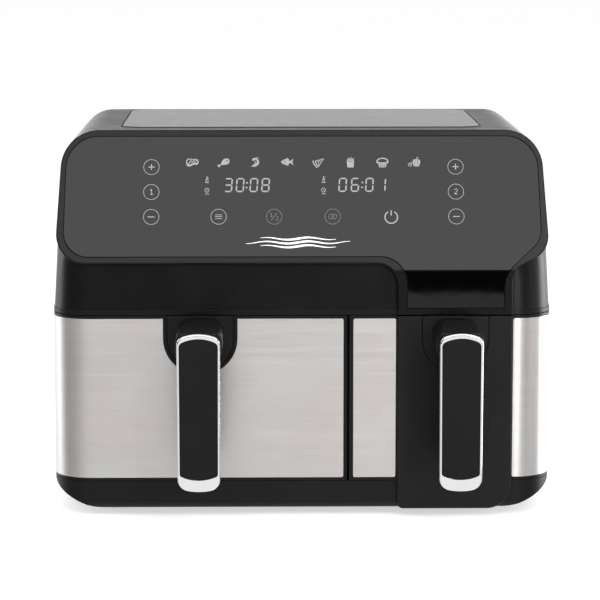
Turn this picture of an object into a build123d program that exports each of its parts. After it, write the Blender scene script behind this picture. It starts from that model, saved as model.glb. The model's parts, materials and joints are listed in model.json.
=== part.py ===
"""Dual-drawer air fryer, in millimetres. +Z is up and the front faces -Y. The origin is the bottom centre."""

from build123d import *
from dataclasses import dataclass
import math
import os

# ---- Driving dimensions ----
WIDTH = 393.6
BODY_DEPTH = 288.0
HEIGHT = 303.4
HANDLE_REACH = 70.0  # how far the handles stand out of the front
REAR_PROUD = 6.0  # how far the rear spacers and the cord inlet stand out
CORNER_R = 31.0  # upright corners, seen from above
BASE_BOTTOM = 6.5
BASE_TOP = 28.5
DRAWER_LOW = 28.9
DRAWER_HIGH = 160.4
HEAD_LOW = 161.0
LIP_TOP = 164.5
BAND_PROUD = 4.0  # the raised upright band stands this far out of the front
SLOPE_FOOT = 196.2  # height where the control panel bends from upright to sloping
SLOPE_DEG = 20.0
HEAD_TAPER_DEG = 3.3
HEAD_SET_IN = 0.6  # how far the head's sides start inside the lip
SHOULDER_R = 30.0
REAR_TOP_R = 14.0
SEAM = 0.3

FRONT = -(BODY_DEPTH + REAR_PROUD - HANDLE_REACH) / 2
REAR = FRONT + BODY_DEPTH
MIDDLE_Y = (FRONT + REAR) / 2
HALF = WIDTH / 2
SLOPE = math.tan(math.radians(SLOPE_DEG))
TAPER = math.tan(math.radians(HEAD_TAPER_DEG))

# ---- Shell thicknesses and depths behind the front ----
STEEL = 0.7
PLASTIC = 2.5
SKIN_POCKET = 0.85
DRAWER_SHELL = 3.5
DRAWER_WRAP = FRONT + 32.0  # rear edge of the drawer fronts at the sides
BODY_FRONT = FRONT + 33.2
BULKHEAD_BACK = BODY_FRONT + 3.0
COVER_FRONT = FRONT + 260.0
CHAMBER_BACK = FRONT + 240.0
PAN_FRONT = FRONT + 10.0
PAN_BACK = FRONT + 232.0

# ---- Heights inside ----
CHAMBER_LOW = 30.5
CHAMBER_HIGH = 160.0
DOME_TOP = 212.0
SHEET = 0.8
PAN_LOW = 36.0
RIM_LOW = 148.0
RIM = 1.4
PAN_WALL = 1.2
PLATE_LOW = 50.0
PLATE_T = 1.6
GUARD_LOW = 162.0
HEATER_Z = 176.0
SHAFT_R = 3.0
RUNNING = 0.05  # radial clearance of the shaft in the motor
MOTOR_LOW = 232.0
MOTOR_HIGH = 262.0

# ---- Raised band and the control panel's tab above it ----
BAND_LEFT = 74.4
BAND_RIGHT = 164.4
GLASS_DEPTH = 0.7
GLASS_BACK = 2.9
POCKET_DEPTH = 3.0
BEZEL_DEPTH = 12.0
BEZEL_FLOOR = 5.5

# ---- Top panel ----
TOP_PANEL_X = 287.0
TOP_PANEL_Y = 194.0
TOP_PANEL_CENTRE = FRONT + 157.0
TOP_PANEL_R = 18.0
TOP_PANEL_T = 3.0
TOP_GAP = 1.3
TOP_PANEL_PROUD = 0.5

# ---- Handle, measured from its own centre line ----
PLATE_HALF = 26.0
PLATE_CENTRE_Z = 142.6
NOTCH_HALF = 29.2
NECK_HALF = 18.0
NECK_LOW = 134.0
NECK_HIGH = 159.2
ELBOW = 6.0  # the web inside the corner between neck and grip
ELBOW_HALF = 11.0
GRIP_LOW = 34.6
GRIP_HIGH = 156.6
GRIP_TOP_HALF = 16.6
GRIP_FOOT_HALF = 16.3
GRIP_FRONT = FRONT - HANDLE_REACH
GRIP_BACK = GRIP_FRONT + 23.0
TRIM_BACK = GRIP_FRONT + 6.5
TRIM_WALL = 1.7
INSERT_FRONT = GRIP_FRONT + 0.6
INSERT_LOW = 43.6
INSERT_HIGH = 153.0
INSERT_GAP = 0.15
# How far the grip's and the insert's ends bow out, at the foot and at the top
GRIP_CROWNS = (3.0, 4.0)
INSERT_CROWNS = (3.4, 4.0)

FAR = 400.0


@dataclass
class Bay:
    """One drawer bay. x values run across the front."""

    name: str
    front_low: float
    front_high: float
    handle_x: float
    chamber_low: float
    chamber_high: float
    outer: int  # -1 when the outer side is -X, +1 when it is +X
    skin_spans: list
    wheel_r: float
    heater_radii: tuple

    @property
    def middle(self):
        return (self.chamber_low + self.chamber_high) / 2

    @property
    def dome_half(self):
        return (self.chamber_high - self.chamber_low) / 2 - 14.0

    @property
    def pan_half(self):
        return (self.chamber_high - self.chamber_low) / 2 - SHEET - 4.0


BAYS = [
    Bay("left", -HALF, 35.1, -80.2, -182.0, 33.6, -1, [(-HALF - 5, 32.2)], 62.0, (74.0, 58.0)),
    Bay("right", 36.7, HALF, 119.9, 38.4, 182.0, 1, [(39.9, 73.4), (165.4, HALF + 5)], 44.0, (50.0, 36.0)),
]
FAN_Y = FRONT + 142.0


# ---- Shared shapes ----
def plan_block(inset, low, high):
    """The body's rounded plan, set in by inset, between two heights."""
    with BuildPart() as block:
        with BuildSketch(Plane.XY.offset(low)):
            with Locations((0, MIDDLE_Y)):
                RectangleRounded(WIDTH - 2 * inset, BODY_DEPTH - 2 * inset, CORNER_R - inset)
        extrude(amount=high - low)
    return block.part


def tapered_plan_block(inset, low, high):
    """The body's rounded plan, drawn in with height at the head's taper."""
    with BuildPart() as block:
        for z in (low, high):
            less = inset + (z - low) * TAPER
            with BuildSketch(Plane.XY.offset(z)):
                with Locations((0, MIDDLE_Y)):
                    RectangleRounded(WIDTH - 2 * less, BODY_DEPTH - 2 * less, CORNER_R - less)
        loft()
    return block.part


def front_block(points, radii, front, back):
    """A front-view outline of (x, z) points, between two depths."""
    with BuildPart() as block:
        with BuildSketch(Plane.XZ.offset(-back)):
            with BuildLine():
                FilletPolyline(*points, radius=radii, close=True)
            make_face()
        extrude(amount=back - front)
    return block.part


def side_block(points, radii, low_x=-FAR, high_x=FAR):
    """A side-view outline of (y, z) points, between two x values."""
    with BuildPart() as block:
        with BuildSketch(Plane.YZ.offset(low_x)):
            with BuildLine():
                FilletPolyline(*points, radius=radii, close=True)
            make_face()
        extrude(amount=high_x - low_x)
    return block.part


def box_between(low, high):
    """A box from its lowest to its highest corner."""
    size = [h - l for l, h in zip(low, high)]
    centre = [(h + l) / 2 for l, h in zip(low, high)]
    with BuildPart() as block:
        with Locations(tuple(centre)):
            Box(*size)
    return block.part


def rectangle(low_x, high_x, low_z, high_z):
    """The corners of an upright rectangle."""
    return [(low_x, low_z), (low_x, high_z), (high_x, high_z), (high_x, low_z)]


def shell_between(outer, inner, low, high):
    """The body's wall between two insets."""
    with BuildPart() as wall:
        add(plan_block(outer, low, high))
        add(plan_block(inner, low - 1, high + 1), mode=Mode.SUBTRACT)
    return wall.part


def save(part, name):
    """Labels a piece and writes it."""
    part.label = name
    export_step(part, f"parts/{name}.step")


# ---- Base ----
BASE_CORNER_X = 42.0
BASE_CORNER_PULL = 0.4  # lower is nearer a straight chamfer


def base_block(inset, floor):
    """The base's outer shape set in by inset, with its long soft bottom corners."""
    across, up = BASE_CORNER_X - inset, BASE_TOP - floor
    half = HALF - inset
    steep = (half, BASE_TOP - BASE_CORNER_PULL * up)
    level = (half - (1 - BASE_CORNER_PULL) * across, floor)
    with BuildPart() as profile:
        with BuildSketch(Plane.XZ.offset(-FAR)):
            with BuildLine():
                Line((-half, BASE_TOP), (half, BASE_TOP))
                Bezier((half, BASE_TOP), steep, level, (half - across, floor))
                Line((half - across, floor), (across - half, floor))
                Bezier((across - half, floor), (-level[0], floor), (-steep[0], steep[1]), (-half, BASE_TOP))
            make_face()
        extrude(amount=2 * FAR)
        add(plan_block(inset, floor, BASE_TOP), mode=Mode.INTERSECT)
    return profile.part


FOOT_PLACES = [(x, y) for x in (-150.0, 150.0) for y in (FRONT + 42.0, FRONT + 246.0)]
FOOT_R = 11.0
FOOT_PEG_R = 4.0
BASE_FLOOR = 3.0


def base_tray():
    """The bottom tub, with air slots in its floor and a hole for each foot."""
    with BuildPart() as tray:
        add(base_block(0, BASE_BOTTOM))
        edge = [(FRONT, BASE_BOTTOM), (FRONT, BASE_TOP), (REAR, BASE_TOP), (REAR, BASE_BOTTOM)]
        add(side_block(edge, [5, 0, 0, 5]), mode=Mode.INTERSECT)
        add(base_block(3, BASE_BOTTOM + BASE_FLOOR), mode=Mode.SUBTRACT)
        with BuildSketch(Plane.XY.offset(BASE_BOTTOM)):
            for middle in (-79.0, 110.0):
                with Locations((middle, FAN_Y)):
                    with GridLocations(11, 70, 8, 2):
                        SlotOverall(44, 3.2, rotation=90)
            with Locations(*FOOT_PLACES):
                Circle(FOOT_PEG_R)
        extrude(amount=BASE_FLOOR, mode=Mode.SUBTRACT)
    return tray.part


def feet():
    """Four rubber feet, each with a peg in the base."""
    with BuildPart() as group:
        with Locations(*[(x, y, 0) for x, y in FOOT_PLACES]):
            Cone(FOOT_R - 2, FOOT_R, BASE_BOTTOM, align=(Align.CENTER, Align.CENTER, Align.MIN))
        with Locations(*[(x, y, BASE_BOTTOM) for x, y in FOOT_PLACES]):
            Cylinder(FOOT_PEG_R, BASE_FLOOR, align=(Align.CENTER, Align.CENTER, Align.MIN))
    return group.part


# ---- Body between the base and the head ----
def side_wall(sign, outer, inner, front):
    """One side's wall between two insets, from front to the rear cover."""
    with BuildPart() as wall:
        add(shell_between(outer, inner, BASE_TOP, HEAD_LOW))
        edge = sorted((0.0, sign * FAR))
        keep = box_between((edge[0], front, 0), (edge[1], COVER_FRONT - SEAM, FAR))
        add(keep, mode=Mode.INTERSECT)
    return wall.part


def chassis():
    """The upright frame behind the drawer fronts, with a wall between the two bays."""
    inner = HALF - STEEL - 0.2
    with BuildPart() as frame:
        add(box_between((-inner, BODY_FRONT, BASE_TOP), (inner, BULKHEAD_BACK, HEAD_LOW)))
        add(box_between((34.7, BULKHEAD_BACK, BASE_TOP), (37.3, CHAMBER_BACK, HEAD_LOW)))
        for bay in BAYS:
            low = (bay.chamber_low, BODY_FRONT - 1, CHAMBER_LOW)
            high = (bay.chamber_high, BULKHEAD_BACK, CHAMBER_HIGH)
            add(box_between(low, high), mode=Mode.SUBTRACT)
            add(tongue(bay, 0.8), mode=Mode.SUBTRACT)
    return frame.part


TONGUE_Z = 126.0
TONGUE_END = FRONT + 45.2
SWITCH_FRONT = FRONT + 48.0


def tongue(bay, grow=0.0):
    """The finger on a drawer front that presses its bay's switch."""
    x = bay.outer * (HALF - 5.9)
    low = (x - 2.0 - grow, FRONT + 24.0, TONGUE_Z - 3.0 - grow)
    high = (x + 2.0 + grow, TONGUE_END + grow, TONGUE_Z + 3.0 + grow)
    return box_between(low, high)


def rear_cover():
    """The lower rear cover, with its spacers, cord inlet hole and screw holes."""
    with BuildPart() as cover:
        add(shell_between(0, PLASTIC, BASE_TOP + SEAM, HEAD_LOW - SEAM))
        add(box_between((-FAR, COVER_FRONT, 0), (FAR, FAR, FAR)), mode=Mode.INTERSECT)
        with BuildSketch(Plane.XZ.offset(-REAR)):
            with Locations((-110, 95), (110, 95)):
                SlotOverall(60, 16, rotation=90)
        extrude(amount=-REAR_PROUD)
        with BuildSketch(Plane.XZ.offset(-REAR)):
            with Locations(INLET):
                Circle(INLET_SEAT_R)
            with Locations(*SCREW_PLACES):
                Circle(SCREW_R)
        extrude(amount=PLASTIC, mode=Mode.SUBTRACT)
    return cover.part


INLET = (158.0, 52.0)
INLET_SEAT_R = 9.0
INLET_BORE_R = 3.6
SCREW_R = 1.6
SCREW_PLACES = [(x, z) for x in (-155.0, 0.0, 155.0) for z in (42.0, 148.0) if (x, z) != (155.0, 42.0)]


def cord_inlet():
    """The bush that the mains cord comes out of."""
    with BuildPart() as bush:
        with BuildSketch(Plane.XZ.offset(-(REAR - PLASTIC - 3))):
            with Locations(INLET):
                Circle(INLET_SEAT_R)
        extrude(amount=-(PLASTIC + 3))
        with BuildSketch(Plane.XZ.offset(-REAR)):
            with Locations(INLET):
                Circle(INLET_SEAT_R + 3)
        extrude(amount=-REAR_PROUD, taper=18)
        with BuildSketch(Plane.XZ.offset(-(REAR - PLASTIC - 3))):
            with Locations(INLET):
                Circle(INLET_BORE_R)
        extrude(amount=-(PLASTIC + 3 + REAR_PROUD), mode=Mode.SUBTRACT)
    return bush.part


def housing_screws():
    """Pan-head screws that hold the rear cover."""
    with BuildPart() as group:
        with BuildSketch(Plane.XZ.offset(-REAR)):
            with Locations(*SCREW_PLACES):
                Circle(2 * SCREW_R)
        extrude(amount=-1.4)
        with BuildSketch(Plane.XZ.offset(-REAR)):
            with Locations(*SCREW_PLACES):
                Circle(SCREW_R)
        extrude(amount=10)
        with BuildSketch(Plane.XZ.offset(-(REAR + 1.4))):
            for place in SCREW_PLACES:
                with Locations(place):
                    Rectangle(3.6, 0.8)
                    Rectangle(0.8, 3.6)
        extrude(amount=0.8, mode=Mode.SUBTRACT)
    return group.part


# ---- Head ----
LOFT_OVERLAP = 5.0  # how far the head's cutting outlines start below the lip


def head_half(z, inset=0.0):
    """Half the head's width at a height."""
    return HALF - HEAD_SET_IN - inset - (z - LIP_TOP) * TAPER


def slope_band(near, far, low=HEAD_LOW, high=HEIGHT):
    """The layer between two depths behind the front face of the band and the slope."""
    front = FRONT - BAND_PROUD
    top = front + (high - SLOPE_FOOT) * SLOPE
    points = [(front + near, low), (front + near, SLOPE_FOOT), (top + near, high)]
    points += [(top + far, high), (front + far, SLOPE_FOOT), (front + far, low)]
    return side_block(points, [0, 12, 0, 0, 12, 0])


def panel_piece(points, radii, near, far):
    """A front-view outline cut to the layer between two depths behind the band and the slope."""
    with BuildPart() as piece:
        add(front_block(points, radii, -FAR, FAR))
        add(slope_band(near, far), mode=Mode.INTERSECT)
    return piece.part


def head_block(inset):
    """The head's whole outer shape, set in by inset. The slope is cut at its own plane."""
    top, low = HEIGHT - inset, LIP_TOP - LOFT_OVERLAP
    shoulder = SHOULDER_R - inset
    with BuildPart() as block:
        add(tapered_plan_block(HEAD_SET_IN + inset, LIP_TOP, top + 2))
        wide, narrow = head_half(low, inset), head_half(top, inset)
        outline = [(-wide, low), (-narrow, top), (narrow, top), (wide, low)]
        add(front_block(outline, [0, shoulder, shoulder, 0], -FAR, FAR), mode=Mode.INTERSECT)
        foot = FRONT - BAND_PROUD + inset
        slope_y = foot + (top - SLOPE_FOOT) * SLOPE
        rear_low = REAR - HEAD_SET_IN - inset + LOFT_OVERLAP * TAPER
        rear_top = rear_low - (top - low) * TAPER
        side = [(foot, low), (foot, SLOPE_FOOT), (slope_y, top), (rear_top, top), (rear_low, low)]
        add(side_block(side, [0, 0, 0, REAR_TOP_R - inset, 0]), mode=Mode.INTERSECT)
    return block.part


def bezel_outline():
    """Front view of the bezel: the panel's frame with the raised band below its right end."""
    low = 201.4
    left, right = head_half(low), head_half(210.8)
    top = head_half(HEIGHT)
    points = [(-left, low), (-top, HEIGHT), (top, HEIGHT), (right, 210.8), (BAND_RIGHT, 196.7)]
    points += [(BAND_RIGHT, HEAD_LOW + SEAM), (BAND_LEFT, HEAD_LOW + SEAM), (BAND_LEFT, low)]
    return points, [23, SHOULDER_R, SHOULDER_R, 19, 14, 0, 0, 16]


def glass_outline(inset):
    """Front view of the control panel, set in by inset from its pocket."""
    left, right, top, low = -187.6 + inset, 187.6 - inset, 298.7 - inset, 206.6 + inset
    points = [(left, low), (left + 2.4, top), (right - 2.4, top), (right, 219.5), (158.3 - inset, 193.5)]
    points += [(158.3 - inset, 166.4 + inset), (81.8 + inset, 166.4 + inset), (81.8 + inset, low)]
    return points, [19, 25, 25, 18, 24, 1.5, 1.5, 21]


def front_rim(part):
    """The edges round the front of a piece that follows the band and the slope."""
    rim = []
    for edge in part.edges():
        points = [edge @ share for share in (0.0, 0.3, 0.5, 0.7, 1.0)]
        depths = [FRONT - BAND_PROUD + max(0.0, point.Z - SLOPE_FOOT) * SLOPE for point in points]
        in_front = all(abs(point.Y - depth) < 0.3 for point, depth in zip(points, depths))
        level = abs(points[0].Z - points[-1].Z) < 0.01
        at_bend = all(abs(point.Z - SLOPE_FOOT) < 4 for point in points)
        if in_front and not (level and at_bend):
            rim.append(edge)
    return rim


def panel_bezel():
    """The frame round the control panel, with the raised band under its tab."""
    with BuildPart() as bezel:
        add(panel_piece(*bezel_outline(), 0, BEZEL_DEPTH))
        fillet(front_rim(bezel.part), 1.0)
        add(panel_piece(*glass_outline(0), -5, POCKET_DEPTH), mode=Mode.SUBTRACT)
        hollow = rectangle(-165, 150, 215, 292)
        add(panel_piece(hollow, 12, BEZEL_FLOOR, BEZEL_DEPTH + 5), mode=Mode.SUBTRACT)
        for low_x, high_x in DISPLAY_SPANS:
            add(front_block(rectangle(low_x, high_x, *DISPLAY_Z), 1, -FAR, FAR), mode=Mode.SUBTRACT)
    return bezel.part


DISPLAY_SPANS = [(-80.0, -20.0), (12.0, 72.0)]
DISPLAY_Z = (254.0, 269.0)


def control_panel():
    """The dark touch panel, bent where it runs down over the band."""
    with BuildPart() as panel:
        add(panel_piece(*glass_outline(0.4), GLASS_DEPTH, GLASS_BACK))
    return panel.part


def display_board():
    """The circuit board behind the panel, with its two display modules."""
    board_front = BEZEL_FLOOR + 1.5
    with BuildPart() as board:
        add(panel_piece(rectangle(-150, 140, 222, 286), 2, board_front, board_front + 1.6))
        for low_x, high_x in DISPLAY_SPANS:
            module = rectangle(low_x + 0.5, high_x - 0.5, DISPLAY_Z[0] + 0.5, DISPLAY_Z[1] - 0.5)
            add(panel_piece(module, 0.5, POCKET_DEPTH + 0.2, board_front))
    return board.part


def head_housing():
    """The upper housing: lip, tapered sides, sloping front opening, top recess and rear louvres."""
    with BuildPart() as head:
        add(plan_block(0, HEAD_LOW, LIP_TOP))
        add(head_block(0))
        add(plan_block(PLASTIC + 1, HEAD_LOW - 1, LIP_TOP + 1), mode=Mode.SUBTRACT)
        add(head_block(PLASTIC), mode=Mode.SUBTRACT)
        recess_depth = TOP_PANEL_T - TOP_PANEL_PROUD
        with BuildSketch(Plane.XY.offset(HEIGHT)):
            with Locations((0, TOP_PANEL_CENTRE)):
                across, along = TOP_PANEL_X + 2 * TOP_GAP, TOP_PANEL_Y + 2 * TOP_GAP
                RectangleRounded(across + 2 * PLASTIC, along + 2 * PLASTIC, TOP_PANEL_R + TOP_GAP + PLASTIC)
        extrude(amount=-recess_depth - PLASTIC)
        with BuildSketch(Plane.XY.offset(HEIGHT)):
            with Locations((0, TOP_PANEL_CENTRE)):
                RectangleRounded(across, along, TOP_PANEL_R + TOP_GAP)
        extrude(amount=-recess_depth, mode=Mode.SUBTRACT)
        add(panel_piece(*bezel_outline(), -20, BEZEL_DEPTH), mode=Mode.SUBTRACT)
        with BuildSketch(Plane.XZ.offset(-(REAR + 2))):
            for middle in (-80.0, 80.0):
                with Locations((middle, 236)):
                    with GridLocations(1, 7.5, 1, 9):
                        SlotOverall(96, 3.4)
        extrude(amount=20, mode=Mode.SUBTRACT)
    return head.part


def top_panel():
    """The plate let into the top, standing just proud of it."""
    with BuildPart() as plate:
        with BuildSketch(Plane.XY.offset(HEIGHT + TOP_PANEL_PROUD - TOP_PANEL_T)):
            with Locations((0, TOP_PANEL_CENTRE)):
                RectangleRounded(TOP_PANEL_X, TOP_PANEL_Y, TOP_PANEL_R)
        extrude(amount=TOP_PANEL_T)
        fillet(plate.faces().sort_by(Axis.Z)[-1].edges(), 0.4)
    return plate.part


def power_board():
    """The main circuit board, upright behind the chambers, with its larger components."""
    y = FRONT + 258.0
    with BuildPart() as board:
        add(box_between((-100, y, 176), (100, y + 1.6, 284)))
        add(box_between((-80, y - 24, 190), (-48, y, 222)))
        add(box_between((-30, y - 18, 184), (-8, y, 200)))
        add(box_between((0, y - 18, 184), (22, y, 200)))
        with BuildSketch(Plane.XZ.offset(-y)):
            with Locations((55, 200), (55, 224), (78, 212)):
                Circle(8)
        extrude(amount=20)
        add(box_between((-40, y - 14, 240), (60, y, 262)))
    return board.part


# ---- Each bay's fixed parts ----
RUNNER = 2.6


def chamber(bay):
    """The sheet-steel cooking chamber, with runners for the pan's rim and a dome for the fan."""
    with BuildPart() as liner:
        low = (bay.chamber_low, BODY_FRONT, CHAMBER_LOW)
        add(box_between(low, (bay.chamber_high, CHAMBER_BACK, CHAMBER_HIGH)))
        low = (bay.middle - bay.dome_half, FRONT + 58, CHAMBER_HIGH)
        high = (bay.middle + bay.dome_half, FRONT + 226, DOME_TOP)
        add(box_between(low, high))
        inner_low = (bay.chamber_low + SHEET, BODY_FRONT - 1, CHAMBER_LOW + SHEET)
        inner_high = (bay.chamber_high - SHEET, CHAMBER_BACK - SHEET, CHAMBER_HIGH - SHEET)
        add(box_between(inner_low, inner_high), mode=Mode.SUBTRACT)
        low = (low[0] + SHEET, low[1] + SHEET, CHAMBER_HIGH - 2 * SHEET)
        high = (high[0] - SHEET, high[1] - SHEET, DOME_TOP - SHEET)
        add(box_between(low, high), mode=Mode.SUBTRACT)
        for edge, sign in ((inner_low[0], 1), (inner_high[0], -1)):
            span = sorted((edge, edge + sign * RUNNER))
            runner_low = (span[0], BODY_FRONT, RIM_LOW - 2.0)
            add(box_between(runner_low, (span[1], CHAMBER_BACK - SHEET, RIM_LOW - 0.5)))
        with Locations((bay.middle, FAN_Y, DOME_TOP)):
            Cylinder(SHAFT_R + 3, 10, mode=Mode.SUBTRACT)
    return liner.part


def heater(bay):
    """The tubular heating element: two open rings joined at one end, with upright terminals."""
    outer, inner = bay.heater_radii
    tube = 3.2
    with BuildPart() as element:
        for radius, first in ((outer, 16.0), (inner, 2.0)):
            start = math.degrees(math.asin(first / radius))
            turn = 360 - start - math.degrees(math.asin(12.0 / radius))
            with BuildLine() as path:
                ring = CenterArc((bay.middle, FAN_Y, HEATER_Z), radius, start, turn)
            with BuildSketch(Plane(origin=ring @ 0, z_dir=ring % 0)):
                Circle(tube)
            sweep(path=path.line)
        for side in (-12.0, 2.0):
            reach = [math.sqrt(radius**2 - side**2) for radius in (inner, outer)]
            middle = (bay.middle + sum(reach) / 2, FAN_Y + side, HEATER_Z)
            with Locations(middle):
                Cylinder(tube, reach[1] - reach[0], rotation=(0, 90, 0))
            with Locations(*[(bay.middle + along, FAN_Y + side, HEATER_Z) for along in reach]):
                Sphere(tube)
        for side in (2.0, 16.0):
            along = math.sqrt(outer**2 - side**2)
            with Locations((bay.middle + along, FAN_Y + side, HEATER_Z)):
                Cylinder(tube, DOME_TOP - SHEET - HEATER_Z, align=(Align.CENTER, Align.CENTER, Align.MIN))
                Sphere(tube)
    return element.part


def heater_guard(bay):
    """The round wire guard under the heater."""
    radius = bay.heater_radii[0] + 5
    with BuildPart() as guard:
        with BuildSketch(Plane.XY.offset(GUARD_LOW)):
            with Locations((bay.middle, FAN_Y)):
                for share in (1.0, 0.72, 0.44):
                    Circle(radius * share)
                    Circle(radius * share - 2.2, mode=Mode.SUBTRACT)
                for turn in range(4):
                    Rectangle(2 * radius - 2, 2.2, rotation=45 * turn)
                Rectangle(2 * (bay.dome_half - SHEET), 2.2)
        extrude(amount=2.0)
    return guard.part


def motor_bracket(bay):
    """The strap that carries the motor over the chamber's dome."""
    x, y = bay.middle, FAN_Y
    with BuildPart() as strap:
        add(box_between((x - 44, y - 14, MOTOR_LOW - 2), (x + 44, y + 14, MOTOR_LOW)))
        for side in (-1, 1):
            span = sorted((x + side * 42, x + side * 44))
            add(box_between((span[0], y - 14, DOME_TOP), (span[1], y + 14, MOTOR_LOW - 2)))
            foot = sorted((x + side * 42, x + side * 54))
            add(box_between((foot[0], y - 14, DOME_TOP), (foot[1], y + 14, DOME_TOP + 2)))
        with Locations((x, y, MOTOR_LOW)):
            Cylinder(SHAFT_R + 5, 10, mode=Mode.SUBTRACT)
    return strap.part


def motor(bay):
    """The fan motor, with its shaft's running bore."""
    with BuildPart() as body:
        with Locations((bay.middle, FAN_Y, MOTOR_LOW)):
            Cylinder(26, MOTOR_HIGH - MOTOR_LOW, align=(Align.CENTER, Align.CENTER, Align.MIN))
        chamfer(body.faces().sort_by(Axis.Z)[-1].edges(), 3)
        with Locations((bay.middle, FAN_Y, MOTOR_LOW)):
            Cylinder(SHAFT_R + RUNNING, 2 * FAR, mode=Mode.SUBTRACT)
    return body.part


def switch(bay):
    """The drawer switch, with a blind hole for its plunger."""
    x = bay.outer * (HALF - 7.9)
    with BuildPart() as body:
        low = (x - 3.7, SWITCH_FRONT, TONGUE_Z - 6)
        add(box_between(low, (x + 3.7, SWITCH_FRONT + 20, TONGUE_Z + 6)))
        with BuildSketch(Plane.XZ.offset(-SWITCH_FRONT)):
            with Locations((bay.outer * (HALF - 6.6), TONGUE_Z)):
                Circle(1.65)
        extrude(amount=-6, mode=Mode.SUBTRACT)
    return body.part


def plunger(bay):
    """The switch's spring-loaded plunger."""
    with BuildPart() as pin:
        with BuildSketch(Plane.XZ.offset(-(SWITCH_FRONT + 3))):
            with Locations((bay.outer * (HALF - 6.6), TONGUE_Z)):
                Circle(1.5)
        extrude(amount=SWITCH_FRONT + 3 - TONGUE_END - 0.3)
    return pin.part


# ---- Each bay's turning parts ----
def shaft(bay):
    """The motor shaft, which carries both fans."""
    with BuildPart() as rod:
        with Locations((bay.middle, FAN_Y, 184)):
            Cylinder(SHAFT_R, 84, align=(Align.CENTER, Align.CENTER, Align.MIN))
    return rod.part


def fan(bay, radius, low, high, blades, disc_on_top):
    """A bladed wheel: hub, disc and upright blades."""
    disc = 1.2
    disc_low = high - disc if disc_on_top else low
    bottom = (Align.CENTER, Align.CENTER, Align.MIN)
    with BuildPart() as wheel:
        with Locations((bay.middle, FAN_Y, low)):
            Cylinder(8, high - low, align=bottom)
        with Locations((bay.middle, FAN_Y, disc_low)):
            Cylinder(radius, disc, align=bottom)
        with Locations((bay.middle, FAN_Y, low)):
            with PolarLocations(radius * 0.62, blades):
                Box(radius * 0.7, 1.4, high - low, rotation=(0, 0, 25), align=bottom)
        with Locations((bay.middle, FAN_Y, low)):
            Cylinder(SHAFT_R, FAR, mode=Mode.SUBTRACT)
    return wheel.part


# ---- Drawers ----
def skin_region(bay, span, grow):
    """Front-view area of one steel skin, with the handle's notch cut out of it."""
    low_z, high_z = 31.3 - grow, 158.0 + grow
    low_x, high_x = span[0] - grow, span[1] + grow
    with BuildPart() as region:
        add(front_block(rectangle(low_x, high_x, low_z, high_z), 1.5, -FAR, FAR))
        if low_x < bay.handle_x < high_x:
            add(front_block(*u_outline(bay.handle_x, NOTCH_HALF - grow, 170), -FAR, FAR), mode=Mode.SUBTRACT)
        rear_end = DRAWER_WRAP - 0.8 + grow
        add(box_between((-FAR, -FAR, 0), (FAR, rear_end, FAR)), mode=Mode.INTERSECT)
    return region.part


def u_outline(x, half, top):
    """A U with a round bottom, as points and radii."""
    low = PLATE_CENTRE_Z - half
    return rectangle(x - half, x + half, low, top), [half - 0.01, 0, 0, half - 0.01]


def drawer_skin(bay, span):
    """One brushed steel facing. The outer ones wrap round the body's corner."""
    with BuildPart() as skin:
        add(shell_between(0, STEEL, 29, 160))
        add(skin_region(bay, span, 0), mode=Mode.INTERSECT)
    return skin.part


def skin_pocket(bay, span):
    """The space cut into the drawer front for one steel facing."""
    with BuildPart() as pocket:
        add(shell_between(-5, SKIN_POCKET, 29, 160))
        add(skin_region(bay, span, 0.15), mode=Mode.INTERSECT)
    return pocket.part


def drawer_front(bay):
    """The plastic front shell, with pockets for the steel, the handle plate and the band."""
    with BuildPart() as front:
        add(shell_between(0, DRAWER_SHELL, DRAWER_LOW, DRAWER_HIGH))
        low, high = bay.front_low - 5 * (bay.outer < 0), bay.front_high + 5 * (bay.outer > 0)
        add(box_between((low, -FAR, 0), (high, DRAWER_WRAP, FAR)), mode=Mode.INTERSECT)
        for span in bay.skin_spans:
            add(skin_pocket(bay, span), mode=Mode.SUBTRACT)
        if bay.outer < 0:
            seat = front_block(*u_outline(bay.handle_x, PLATE_HALF + 0.4, 170), -FAR, FRONT + 1.9)
            add(seat, mode=Mode.SUBTRACT)
        rim = 4.0
        for low_z, high_z in ((DRAWER_LOW, DRAWER_LOW + rim), (DRAWER_HIGH - rim, DRAWER_HIGH)):
            edge = sorted((bay.front_low if bay.outer > 0 else bay.front_high, bay.outer * 176.0))
            add(box_between((edge[0], FRONT + DRAWER_SHELL, low_z), (edge[1], PAN_FRONT - 3.0, high_z)))
        add(tongue(bay))
        root = sorted((bay.outer * (HALF - 8), bay.outer * (HALF - 2)))
        add(box_between((root[0], FRONT + 24, TONGUE_Z - 3), (root[1], DRAWER_WRAP - 1, TONGUE_Z + 3)))
    return front.part


def inner_cover(bay):
    """The flat cover that closes the back of the drawer front and carries the pan."""
    low, high = sorted((bay.front_low if bay.outer > 0 else bay.front_high, bay.outer * 176.0))
    with BuildPart() as cover:
        outline = rectangle(low + 0.5, high - 0.5, DRAWER_LOW + 0.5, DRAWER_HIGH - 0.5)
        add(front_block(outline, 3, PAN_FRONT - 3.0, PAN_FRONT))
    return cover.part


def drawer_band():
    """The raised black band on the right drawer, which runs down over the base."""
    with BuildPart() as band:
        points = rectangle(BAND_LEFT, BAND_RIGHT, BASE_BOTTOM, DRAWER_HIGH)
        add(front_block(points, [5, 0, 0, 19], FRONT - BAND_PROUD, FRONT - SEAM))
        chosen = band.faces().sort_by(Axis.Y)[0].edges().filter_by(Axis.X, reverse=True)
        fillet(chosen, 1.2)
        seat = front_block(*u_outline(BAYS[1].handle_x, PLATE_HALF + 0.4, 170), -FAR, FRONT - 2.0)
        add(seat, mode=Mode.SUBTRACT)
    return band.part


def face_y(bay):
    """Depth of the face that a drawer's handle is fixed to."""
    return FRONT if bay.outer < 0 else FRONT - BAND_PROUD


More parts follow.
